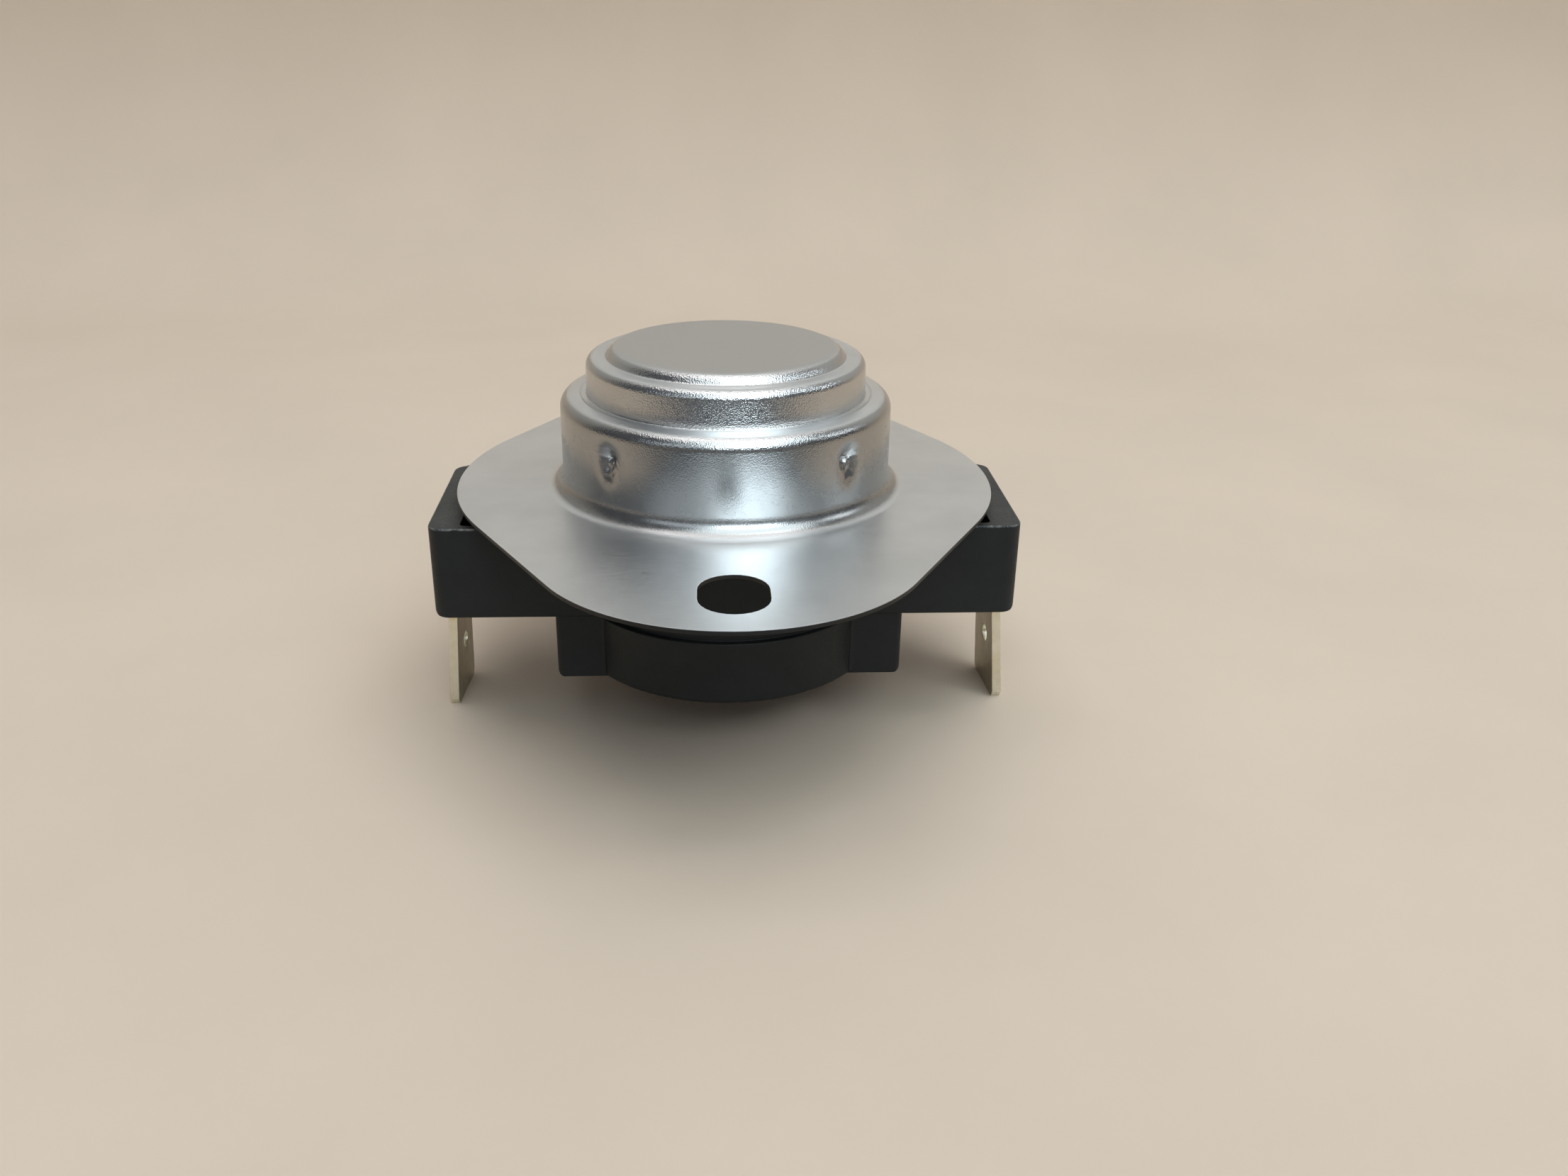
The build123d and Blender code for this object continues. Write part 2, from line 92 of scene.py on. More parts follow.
FLANGE_HALF_LENGTH = CUP_HIGH.y
FLANGE_END_R = 15.2
SHEET_EDGE_ROUND = 0.05
# Odd, so that no corner of the outline falls on a column of the lathed cup.
OUTLINE_STEPS = 43
SLOT_WIDTH = 5.2
SLOT_LENGTH = 6.8
SLOT_PITCH = 49.6
CUT_MARGIN = 1.5
WELD_DISTANCE = 0.03

# Stake marks: oval dishes, each torn across its middle with a tongue below the tear
STAKE_Z = 25.5
STAKE_ANGLES = (-133.0, -47.0, 45.0, 135.0)
STAKE_DEPTH = 0.62
STAKE_HALF_WIDTH = 0.92
STAKE_REACH_UP = 0.92
STAKE_REACH_DOWN = 1.5
STAKE_LIMIT = 2.6
STAKE_RAGGED = 0.16
TEAR_DEPTH = 0.24
TEAR_HALF_WIDTH = 0.4
TEAR_REACH = 0.11
TEAR_WANDER = 0.15
TONGUE_HEIGHT = 0.16
TONGUE_OFFSET = 0.06
TONGUE_HALF_WIDTH = 0.2
TONGUE_DROP = 0.5
TONGUE_REACH = 0.42

# Density of the cup's mesh
PLAIN_COLUMNS = 240
PLAIN_TURN = 1.5
STAKE_COLUMNS = 26
STAKE_TURN = 0.42
STAKE_ROW = 0.11

# Switch case
CASE_BOTTOM = CASE_LOW.z
WING_HALF_LENGTH = CASE_HIGH.x
WING_HALF_WIDTH = 8.06
WING_BOTTOM = 10.9
WING_TOP = 18.9
BLOCK_HALF_LENGTH = 14.74
BLOCK_SHIFT = 0.16
BLOCK_HALF_WIDTH = 7.75
WING_CORNER = 1.3
WING_END_CORNER = 0.8
BLOCK_CORNER = 0.45
BLOCK_END_CORNER = 0.75
BOSS_R = 13.15
BOSS_LEDGE = 10.7
UPPER_BOSS_R = 12.65
BOSS_FILLET = 0.55
COLLAR_R = CASE_HIGH.y
COLLAR_BOTTOM = 17.9
NECK_R = 13.5
NECK_TOP = CASE_HIGH.z
NECK_RELIEF = 1.0
STAKE_GROOVE_DEPTH = 0.7
STAKE_GROOVE_HALF = 1.4
CHAMBER_R = 10.2
CHAMBER_FLOOR = 7.1
# Radii of the lathed corners, from the boss round the neck to the chamber floor
LATHE_BENDS = (0.45, 0.12, 0.1, 0.3, 0.2, 0.15) + 7 * (0.1,) + (0.15, 0.12, 0.5)
POCKET_FLOOR = 13.5
POCKET_INNER = 13.6
POCKET_OUTER = 22.0
POCKET_WALL = 0.8
WINDOW_HALF = (2.2, 2.03)
WINDOW_OFFSET = 1.6
WINDOW_HEIGHT = 0.83
FIT_GAP = 0.03
RIVET_HOLE_R = 1.13
SINK_R = 2.3
FLASH_SECTIONS = 60

# Terminals
TAB_THICKNESS = 0.81
TAB_HALF_WIDTH = TAB_HIGH.y
TAB_X = TAB_HIGH.x - TAB_THICKNESS / 2
TAB_HOLE_Z = 5.2
TAB_HOLE_R = 0.8
TAB_TAPER_WIDTH = 0.4
TAB_TAPER_HEIGHT = 0.6
TAB_LEAN = math.radians(3.0)
TAB_TWIST = math.radians(4.0)
RIGHT_BLADE_OFFSET = 0.33
STRIP_TOP = TAB_HIGH.z
STRIP_INNER = TAB_LOW.x
TAB_INNER_BEND = 0.25
TAB_OUTER_BEND = 1.05
COINED_EDGE = 0.06

# Rivets and disc
RIVET_X = 17.2
RIVET_HEAD_R = 1.88
RIVET_HEAD_HEIGHT = 0.7
RIVET_SHANK_R = 1.1
RIVET_DIMPLE = 0.16
RIVET_BENDS = (0.1, 0.1, 0.3, 0.08, 0.05, 0.05, 0.08, 0.4)
DISC_THICKNESS = 0.25
DISC_R = 9.52

SHARP_ANGLE = 32


# ---------------------------------------------------------------- mesh tools


def new_object(name, bm):
    """An object from a bmesh, with its faces turned outwards."""
    bmesh.ops.remove_doubles(bm, verts=bm.verts, dist=1e-5)
    bmesh.ops.recalc_face_normals(bm, faces=bm.faces)
    mesh = bpy.data.meshes.new(name)
    bm.to_mesh(mesh)
    bm.free()
    obj = bpy.data.objects.new(name, mesh)
    bpy.context.scene.collection.objects.link(obj)
    return obj


def bake_modifiers(obj):
    """Turns the modified shape into the object's own mesh."""
    graph = bpy.context.evaluated_depsgraph_get()
    mesh = bpy.data.meshes.new_from_object(obj.evaluated_get(graph))
    obj.modifiers.clear()
    obj.data = mesh


def combine(obj, tool, operation):
    """Joins, cuts or intersects obj with a tool object, which is used up."""
    modifier = obj.modifiers.new(operation, "BOOLEAN")
    modifier.operation = operation
    modifier.solver = "EXACT"
    modifier.object = tool
    bake_modifiers(obj)
    bpy.data.objects.remove(tool)


def weld(obj, distance):
    """Merges the corners that cuts left almost on top of each other."""
    bm = bmesh.new()
    bm.from_mesh(obj.data)
    bmesh.ops.remove_doubles(bm, verts=bm.verts, dist=distance)
    bm.to_mesh(obj.data)
    bm.free()


def soften(obj, width, angle, segments=2):
    """Rounds every edge sharper than the angle, in degrees."""
    modifier = obj.modifiers.new("soften", "BEVEL")
    modifier.width = width
    modifier.segments = segments
    modifier.limit_method = "ANGLE"
    modifier.angle_limit = math.radians(angle)
    modifier.miter_outer = "MITER_ARC"
    bake_modifiers(obj)


def loft(loops):
    """Closed skin over loops that all have the same number of points."""
    bm = bmesh.new()
    rows = [[bm.verts.new(point) for point in loop] for loop in loops]
    count = len(loops[0])
    for low, high in zip(rows, rows[1:]):
        for i in range(count):
            j = (i + 1) % count
            bm.faces.new((low[i], low[j], high[j], high[i]))
    bm.faces.new(rows[0])
    bm.faces.new(list(reversed(rows[-1])))
    return bm


def rounded_path(points, radii, steps=6):
    """Polyline through points with its inner corners rounded by arcs."""
    path = [Vector(points[0])]
    for before, corner, after, radius in zip(points, points[1:], points[2:], radii):
        corner = Vector(corner)
        into = (Vector(before) - corner).normalized()
        out = (Vector(after) - corner).normalized()
        half = into.angle(out) / 2
        centre = corner + (into + out).normalized() * (radius / math.sin(half))
        start = corner + into * (radius / math.tan(half))
        end = corner + out * (radius / math.tan(half))
        first, last = start - centre, end - centre
        turn = first.angle_signed(last)
        for step in range(steps + 1):
            path.append(centre + Matrix.Rotation(-turn * step / steps, 2) @ first)
    path.append(Vector(points[-1]))
    return path


def ring(radius, z, count=128):
    """Level circle of points."""
    turn = 2 * math.pi / count
    return [(radius * math.cos(i * turn), radius * math.sin(i * turn), z) for i in range(count)]


def rounded_rectangle(half_x, half_y, radius, z, centre=(0, 0), steps=8):
    """Level rectangle of points with rounded corners."""
    points = []
    for quarter, (sx, sy) in enumerate(((1, 1), (-1, 1), (-1, -1), (1, -1))):
        for step in range(steps + 1):
            angle = math.pi / 2 * (quarter + step / steps)
            points.append(
                (
                    centre[0] + sx * (half_x - radius) + radius * math.cos(angle),
                    centre[1] + sy * (half_y - radius) + radius * math.sin(angle),
                    z,
                )
            )
    return points


def rim_levels(low, high, low_round, high_round, steps=4):
    """Heights and insets of the loops of an upright body with rounded rims."""
    angles = [math.pi / 2 * step / steps for step in range(steps + 1)]
    levels = []
    for angle in angles:
        inset = low_round * (1 - math.sin(angle))
        levels.append((low + low_round * (1 - math.cos(angle)), inset))
    for angle in reversed(angles):
        inset = high_round * (1 - math.sin(angle))
        levels.append((high - high_round * (1 - math.cos(angle)), inset))
    return levels


def upright_cylinder(name, radius, low, high, x=0.0, count=128):
    """Cylinder between two heights with its rims just broken."""
    loops = []
    for z, inset in rim_levels(low, high, 0.02, 0.02):
        loops.append([(px + x, py, pz) for px, py, pz in ring(radius - inset, z, count)])
    return new_object(name, loft(loops))


def upright_bar(name, half, centre, low, high, corner, low_round=0.02, high_round=0.02):
    """Rectangular body between two heights with rounded corners and rims."""
    loops = []
    for z, inset in rim_levels(low, high, low_round, high_round):
        radius = max(corner - inset, 0.01)
        loops.append(rounded_rectangle(half[0] - inset, half[1] - inset, radius, z, centre))
    return new_object(name, loft(loops))


def smooth(obj):
    """Smooth shading with the sharp edges kept, and flat faces kept flat."""
    obj.data.shade_smooth()
    obj.data.set_sharp_from_angle(angle=math.radians(SHARP_ANGLE))
    modifier = obj.modifiers.new("flats", "WEIGHTED_NORMAL")
    modifier.keep_sharp = True
    bake_modifiers(obj)


def settle(obj, body, slot, *nodes):
    """Scales a finished piece to metres and puts it on its body in place of its CAD nodes."""
    smooth(obj)
    obj.data.transform(Matrix.Scale(MM, 4))
    obj.data.update()
    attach(obj, body)
    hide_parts(*nodes)
    return obj


# ---------------------------------------------------------------- cup


def cup_section():
    """Section of the drawn sheet in radius and height: its top, then its underside."""
    far = FLANGE_HALF_LENGTH + 2
    outer = [
        (0, HEAD_TOP),
        (PLATEAU_R - PLATEAU_TOP_INSET, HEAD_TOP),
        (PLATEAU_R - PLATEAU_FOOT_INSET, HEAD_STEP),
        (UPPER_R - WALL_DRAFT, HEAD_STEP + WALL_DRAFT),
        (UPPER_R, HEAD_SHOULDER - LEDGE_DROP),
        (UPPER_R + LEDGE_RUN, HEAD_SHOULDER - LEDGE_DROP),
        (UPPER_R + LEDGE_LIP_RUN, HEAD_SHOULDER + LEDGE_LIP_RISE),
        (LOWER_R - WALL_DRAFT, HEAD_SHOULDER - SHOULDER_DROP),
        (LOWER_R, FLANGE_TOP),
        (far, FLANGE_TOP),
    ]
    inner = [
        (0, HEAD_TOP - SHEET),
        (PLATEAU_R - PLATEAU_TOP_INSET - PLATEAU_SHEET_INSET, HEAD_TOP - SHEET),
        (PLATEAU_R - PLATEAU_FOOT_INSET - PLATEAU_SHEET_INSET, HEAD_STEP - SHEET),
        (UPPER_R - SHEET, HEAD_STEP - SHEET),
        (UPPER_R - SHEET, HEAD_SHOULDER - SHEET),
        (LOWER_R - SHEET, HEAD_SHOULDER - SHOULDER_DROP - SHEET),
        (LOWER_R - SHEET, FLANGE_TOP - SHEET),
        (far, FLANGE_TOP - SHEET),
    ]
    top = refine(rounded_path(outer, OUTER_BENDS, 7))
    under = refine(rounded_path(inner, INNER_BENDS, 6))
    return top + list(reversed(under))


def refine(path):
    """Adds closely spaced points to the wall that carries the stake marks."""
    result = [path[0]]
    for start, end in zip(path, path[1:]):
        if abs(start.x - LOWER_R) < 1 and start.y - end.y > 4:
            count = int((start.y - end.y) / STAKE_ROW)
            result += [start.lerp(end, step / count) for step in range(1, count)]
        result.append(end)
    return result


def cup_angles():
    """Angles of the lathed columns, closer together at the stake marks."""
    angles = set()
    for i in range(PLAIN_COLUMNS):
        angles.add(round(i * PLAIN_TURN, 3))
    for mark in STAKE_ANGLES:
        for i in range(-STAKE_COLUMNS, STAKE_COLUMNS + 1):
            angles.add(round((mark + i * STAKE_TURN) % 360, 3))
    return sorted(angles)


def hump(across, along):
    """One in the middle, falling softly to nothing."""
    return math.exp(-(across**2) - along**2)


def stake_depth(angle, z, inner):
    """How far the wall is pushed in near a stake mark: an oval dish, torn across its middle."""
    depth = 0.0
    for number, mark in enumerate(STAKE_ANGLES):
        across = math.radians((angle - mark + 180) % 360 - 180) * LOWER_R
        along = z - STAKE_Z
        if abs(across) > STAKE_LIMIT:
            continue
        reach = STAKE_REACH_UP if along > 0 else STAKE_REACH_DOWN
        dish = STAKE_DEPTH * hump(across / STAKE_HALF_WIDTH, along / reach)
        if inner:
            depth += dish
            continue
        ragged = noise.noise(Vector((across * 2.4, z * 2.4, 7.0 * number + 3.0)))
        tear_along = (along + TEAR_WANDER * ragged) / TEAR_REACH
        tear = TEAR_DEPTH * hump(across / TEAR_HALF_WIDTH, tear_along)
        tongue_across = (across - TONGUE_OFFSET) / TONGUE_HALF_WIDTH
        tongue = TONGUE_HEIGHT * hump(tongue_across, (along + TONGUE_DROP) / TONGUE_REACH)
        depth += dish * (1 + STAKE_RAGGED * ragged) + tear - tongue
    return depth


def flange_outline(z):
    """Centre disc and end discs joined by their outer tangents."""
    reach = FLANGE_HALF_LENGTH - FLANGE_END_R
    lean = math.asin((FLANGE_MIDDLE_R - FLANGE_END_R) / reach)
    arcs = [
        (0, FLANGE_MIDDLE_R, -lean, lean),
        (reach, FLANGE_END_R, lean, math.pi - lean),
        (0, FLANGE_MIDDLE_R, math.pi - lean, math.pi + lean),
        (-reach, FLANGE_END_R, math.pi + lean, 2 * math.pi - lean),
    ]
    points = []
    for centre_y, radius, start, end in arcs:
        for step in range(OUTLINE_STEPS + 1):
            angle = start + (end - start) * step / OUTLINE_STEPS
            points.append((radius * math.cos(angle), centre_y + radius * math.sin(angle), z))
    return points


def slot_outline(side, z, steps=14):
    """Slot with round ends, long along Y."""
    radius = SLOT_WIDTH / 2
    straight = (SLOT_LENGTH - SLOT_WIDTH) / 2
    points = []
    for end in (1, -1):
        for step in range(steps + 1):
            angle = math.pi * step / steps + (0 if end > 0 else math.pi)
            centre_y = side * SLOT_PITCH / 2 + end * straight
            points.append((radius * math.cos(angle), centre_y + radius * math.sin(angle), z))
    return points


def make_cup():
    """Drawn aluminium cup with flange, slots and stake marks."""
    section = cup_section()
    half = len(section) // 2
    angles = cup_angles()
    bm = bmesh.new()
    columns = []
    for angle in angles:
        turn = math.radians(angle)
        column = []
        for i, point in enumerate(section):
            radius = point.x
            if abs(radius - LOWER_R) < 0.6 and point.y < HEAD_SHOULDER:
                radius -= stake_depth(angle, point.y, i > half)
            place = (radius * math.cos(turn), radius * math.sin(turn), point.y)
            column.append(bm.verts.new(place))
        columns.append(column)
    for i, column in enumerate(columns):
        after = columns[(i + 1) % len(columns)]
        for j in range(len(section) - 1):
            bm.faces.new((column[j], after[j], after[j + 1], column[j + 1]))
    cup = new_object("cup_pressing", bm)
    blank = loft([flange_outline(z) for z in (FLANGE_TOP - CUT_MARGIN, HEAD_TOP + CUT_MARGIN)])
    combine(cup, new_object("blank", blank), "INTERSECT")
    slot_levels = (FLANGE_TOP - CUT_MARGIN, FLANGE_TOP + CUT_MARGIN)
    for side in (1, -1):
        punch = loft([slot_outline(side, z) for z in slot_levels])
        combine(cup, new_object("punch", punch), "DIFFERENCE")
    weld(cup, WELD_DISTANCE)
    soften(cup, SHEET_EDGE_ROUND, 50)
    return settle(cup, "root", "cup_aluminium", "mounting_cup")


# ---------------------------------------------------------------- case


def end_profile(half_length, low, high, corner, shift=0.0):
    """Wide prism along Y whose outline in X and Z has rounded bottom corners."""
    points = rounded_path(
        [
            (half_length, high + 1),
            (half_length, low),
            (-half_length, low),
            (-half_length, high + 1),
        ],
        [corner, corner],
        8,
    )
    loops = [[(point.x + shift, y, point.y) for point in points] for y in (-20, 20)]
    return new_object("profile", loft(loops))


def boss_fillet(side_x, side_y):
    """Filler with a hollow round face where the boss meets the block."""
    centre_y = BLOCK_HALF_WIDTH + BOSS_FILLET
    centre_x = math.sqrt((BOSS_R + BOSS_FILLET) ** 2 - centre_y**2)
    toward = math.atan2(-centre_y, -centre_x)
    buried = BLOCK_HALF_WIDTH - 0.8
    points = [(centre_x - 2.5, buried), (centre_x, buried)]
    steps = 8
    for step in range(steps + 1):
        angle = -math.pi / 2 + (toward + math.pi / 2) * step / steps
        x = centre_x + BOSS_FILLET * math.cos(angle)
        points.append((x, centre_y + BOSS_FILLET * math.sin(angle)))
    loops = []
    for z in (CASE_BOTTOM + 0.35, BOSS_LEDGE - 0.05):
        loops.append([(side_x * x, side_y * y, z) for x, y in points])
    return new_object("filler", loft(loops))


def wing_flash(side_x, side_y):
    """Thin ragged line of moulding flash along a wing's top edge."""
    loops = []
    start, end = POCKET_OUTER - 4.5, WING_HALF_LENGTH - 1.0
    y, z = WING_HALF_WIDTH - 0.09, WING_TOP - 0.03
    for i in range(FLASH_SECTIONS + 1):
        x = start + (end - start) * i / FLASH_SECTIONS
        ragged = 0.5 + 0.5 * noise.noise(Vector((x * 1.7, 3.0 * side_x, 5.0 * side_y)))
        jag = 0.5 + 0.5 * noise.noise(Vector((x * 7.0, 9.0 * side_x, side_y)))
        high = 0.03 + 0.07 * ragged * jag
        wide = 0.05 + 0.05 * jag
        profile = [(y - wide, z - 0.05), (y + wide, z - 0.07), (y + 0.3 * wide, z + high)]
        loops.append([(side_x * x, side_y * py, pz) for py, pz in profile])
    return loft(loops)


def make_case():
    """Moulded case with wings, block, boss, collar and neck, hollow inside."""
    case = upright_bar(
        "moulded_case",
        (WING_HALF_LENGTH, WING_HALF_WIDTH),
        (0, 0),
        WING_BOTTOM,
        WING_TOP,
        WING_CORNER,
        0.22,
        0.14,
    )
    ends = end_profile(WING_HALF_LENGTH, WING_BOTTOM, WING_TOP, WING_END_CORNER)
    combine(case, ends, "INTERSECT")
    block = upright_bar(
        "block",
        (BLOCK_HALF_LENGTH, BLOCK_HALF_WIDTH),
        (BLOCK_SHIFT, 0),
        CASE_BOTTOM,
        WING_BOTTOM + 1,
        BLOCK_CORNER,
        0.18,
    )
    ends = end_profile(BLOCK_HALF_LENGTH, CASE_BOTTOM, WING_TOP, BLOCK_END_CORNER, BLOCK_SHIFT)
    combine(block, ends, "INTERSECT")
    combine(case, block, "UNION")
    lathe = rounded_path(
        [
            (0, CASE_BOTTOM),
            (BOSS_R - 0.06, CASE_BOTTOM),
            (BOSS_R, BOSS_LEDGE),
            (UPPER_BOSS_R, BOSS_LEDGE + 0.03),
            (UPPER_BOSS_R, COLLAR_BOTTOM),
            (COLLAR_R, COLLAR_BOTTOM),
            (COLLAR_R, FLANGE_TOP - SHEET),
            (NECK_R - NECK_RELIEF, FLANGE_TOP - SHEET),
            (NECK_R - NECK_RELIEF, FLANGE_TOP + 1.5),
            (NECK_R, FLANGE_TOP + 1.6),
            (NECK_R, STAKE_Z - STAKE_GROOVE_HALF),
            (NECK_R - STAKE_GROOVE_DEPTH, STAKE_Z - STAKE_GROOVE_HALF),
            (NECK_R - STAKE_GROOVE_DEPTH, STAKE_Z + STAKE_GROOVE_HALF),
            (NECK_R, STAKE_Z + STAKE_GROOVE_HALF),
            (NECK_R, NECK_TOP),
            (CHAMBER_R, NECK_TOP),
            (CHAMBER_R, CHAMBER_FLOOR),
            (0, CHAMBER_FLOOR),
        ],
        LATHE_BENDS,
        4,
    )
    body = new_object("body", lathe_solid(lathe, 160))
    hollow = upright_cylinder("hollow", CHAMBER_R + 0.4, CHAMBER_FLOOR + 0.5, WING_TOP + 4)
    combine(case, hollow, "DIFFERENCE")
    combine(case, body, "UNION")
    for side_x in (1, -1):
        for side_y in (1, -1):
            combine(case, boss_fillet(side_x, side_y), "UNION")
    for side in (1, -1):
        for cutter in case_cutters(side):
            combine(case, cutter, "DIFFERENCE")
    soften(case, 0.06, 60)
    bm = bmesh.new()
    bm.from_mesh(case.data)
    for side_x in (1, -1):
        for side_y in (1, -1):
            add_loose(bm, wing_flash(side_x, side_y))
    bm.to_mesh(case.data)
    bm.free()
    return settle(case, "root", "case_phenolic", "switch_case")


def add_loose(bm, extra):
    """Adds a second closed shell to a bmesh."""
    bmesh.ops.recalc_face_normals(extra, faces=extra.faces)
    scratch = bpy.data.meshes.new("scratch")
    extra.to_mesh(scratch)
    extra.free()
    bm.from_mesh(scratch)
    bpy.data.meshes.remove(scratch)


def lathe_solid(path, count):
    """Solid of revolution from a path whose ends lie on the axis."""
    bm = bmesh.new()
    rows = []
    for point in path:
        if point.x < 1e-6:
            rows.append([bm.verts.new((0, 0, point.y))] * count)
        else:
            rows.append([bm.verts.new(place) for place in ring(point.x, point.y, count)])
    for low, high in zip(rows, rows[1:]):
        for i in range(count):
            j = (i + 1) % count
            corners = []
            for vertex in (low[i], low[j], high[j], high[i]):
                if vertex not in corners:
                    corners.append(vertex)
            if len(corners) > 2:
                bm.faces.new(corners)
    return bm


def case_cutters(side):
    """Pocket, strip channel, tab slot, window and rivet hole of one wing."""
    pocket_half = (POCKET_OUTER - POCKET_INNER) / 2
    pocket_x = side * (POCKET_OUTER + POCKET_INNER) / 2
    strip_half = TAB_HALF_WIDTH + FIT_GAP
    tab_half = TAB_THICKNESS / 2 + FIT_GAP
    channel_low = POCKET_OUTER - 0.3
    channel_high = TAB_X + tab_half
    yield upright_bar(
        "pocket",
        (pocket_half, WING_HALF_WIDTH - POCKET_WALL),
        (pocket_x, 0),
        POCKET_FLOOR,
        WING_TOP + 0.4,
        0.4,
        0.15,
    )
    yield upright_bar(
        "channel",
        ((channel_high - channel_low) / 2, strip_half),
        (side * (channel_high + channel_low) / 2, 0),
        POCKET_FLOOR,
        STRIP_TOP + FIT_GAP,
        0.02,
    )
    yield upright_bar(
        "tab_slot", (tab_half, strip_half), (side * TAB_X, 0), WING_BOTTOM - 1, STRIP_TOP, 0.02
    )
    yield upright_bar(
        "window",
        WINDOW_HALF,
        (side * (CHAMBER_R + WINDOW_OFFSET), 0),
        STRIP_TOP - FIT_GAP,
        STRIP_TOP + WINDOW_HEIGHT,
        0.02,
    )
    rivet_x = side * RIVET_X
    yield upright_cylinder(
        "rivet_hole", RIVET_HOLE_R, WING_BOTTOM - 1, POCKET_FLOOR + 1, x=rivet_x, count=32
    )
    yield upright_cylinder(
        "sink", SINK_R, WING_BOTTOM - 1, WING_BOTTOM + 1, x=rivet_x, count=48
    )


# ---------------------------------------------------------------- terminals and rivets


def make_terminal(side, name, node, offset=0.0):
    """Blade with coined edges, tapered tip and hole, leaning outwards below the wing."""
    half = TAB_THICKNESS / 2
    blade = rounded_path(
        [
            (STRIP_INNER, STRIP_TOP - TAB_THICKNESS),
            (TAB_X - half, STRIP_TOP - TAB_THICKNESS),
            (TAB_X - half, 0),
        ],
        [TAB_INNER_BEND],
    )
    back = rounded_path(
        [(TAB_X + half, 0), (TAB_X + half, STRIP_TOP), (STRIP_INNER, STRIP_TOP)],
        [TAB_OUTER_BEND],
    )
    loops = []
    for y in (-TAB_HALF_WIDTH, TAB_HALF_WIDTH):
        loops.append([(point.x, y, point.y) for point in blade + back])
    terminal = new_object(name, loft(loops))
    for end in (1, -1):
        inner, outer = TAB_HALF_WIDTH - TAB_TAPER_WIDTH, TAB_HALF_WIDTH + 1
        taper = [(inner, 0), (TAB_HALF_WIDTH, TAB_TAPER_HEIGHT), (outer, TAB_TAPER_HEIGHT)]
        taper += [(outer, -1), (inner, -1)]
        corner_loops = []
        for x in (TAB_X - 2, TAB_X + 2):
            corner_loops.append([(x, end * y, z) for y, z in taper])
        combine(terminal, new_object("corner", loft(corner_loops)), "DIFFERENCE")
    circle = ring(TAB_HOLE_R, 0, 40)
    hole_loops = []
    for x in (TAB_X - 1, TAB_X + 1):
        hole_loops.append([(x, py, TAB_HOLE_Z + px) for px, py, _ in circle])
    combine(terminal, new_object("hole", loft(hole_loops)), "DIFFERENCE")
    rivet_hole = upright_cylinder(
        "rivet_hole", RIVET_HOLE_R, STRIP_TOP - 2, STRIP_TOP + 1, x=RIVET_X, count=32
    )
    combine(terminal, rivet_hole, "DIFFERENCE")
    soften(terminal, COINED_EDGE, 40, 3)
    for vertex in terminal.data.vertices:
        drop = max(0.0, WING_BOTTOM - vertex.co.z)
        onset = min(drop, 1.0)
        turn = onset * math.tan(TAB_TWIST)
        vertex.co.x += drop * math.tan(TAB_LEAN) - vertex.co.y * turn + offset * onset
        vertex.co.x *= side
    if side < 0:
        terminal.data.flip_normals()
    return settle(terminal, "root", "tinned_brass", node)


def make_rivets():
    """Two headed rivets, crowned on top and dimpled below."""
    low, high = RIVET_LOW.z, RIVET_HIGH.z
    path = rounded_path(
        [
            (0, low + RIVET_DIMPLE),
            (0.75, low + RIVET_DIMPLE),
            (0.95, low),
            (RIVET_HEAD_R, low),
            (RIVET_HEAD_R, low + RIVET_HEAD_HEIGHT),
            (RIVET_SHANK_R, low + RIVET_HEAD_HEIGHT),
            (RIVET_SHANK_R, high - RIVET_HEAD_HEIGHT),
            (RIVET_HEAD_R, high - RIVET_HEAD_HEIGHT),
            (1.8, high - 0.05),
            (0, high),
        ],
        RIVET_BENDS,
        4,
    )
    bm = bmesh.new()
    for side in (1, -1):
        shell = lathe_solid(path, 48)
        bmesh.ops.translate(shell, verts=shell.verts, vec=(side * RIVET_X, 0, 0))
        add_loose(bm, shell)
    rivets = new_object("wing_rivets", bm)
    return settle(rivets, "root", "rivet_brass", "terminal_rivets")


def make_disc():
    """Domed snap disc of even thickness, on a mesh of its own."""
    rise = DISC_HIGH.z - DISC_LOW.z - DISC_THICKNESS
    rings = 14
    top, under = [], []
    for i in range(rings + 1):
        radius = DISC_R * i / rings
        height = DISC_LOW.z + rise * (1 - (radius / DISC_R) ** 2)
        under.append(Vector((radius, height)))
        top.append(Vector((radius, height + DISC_THICKNESS)))
    disc = new_object("snap_disc", lathe_solid(top + list(reversed(under)), 120))
    settle(disc, "root", "bimetal", "bimetal_disc")
    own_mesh(disc)
    return disc


# ---------------------------------------------------------------- materials


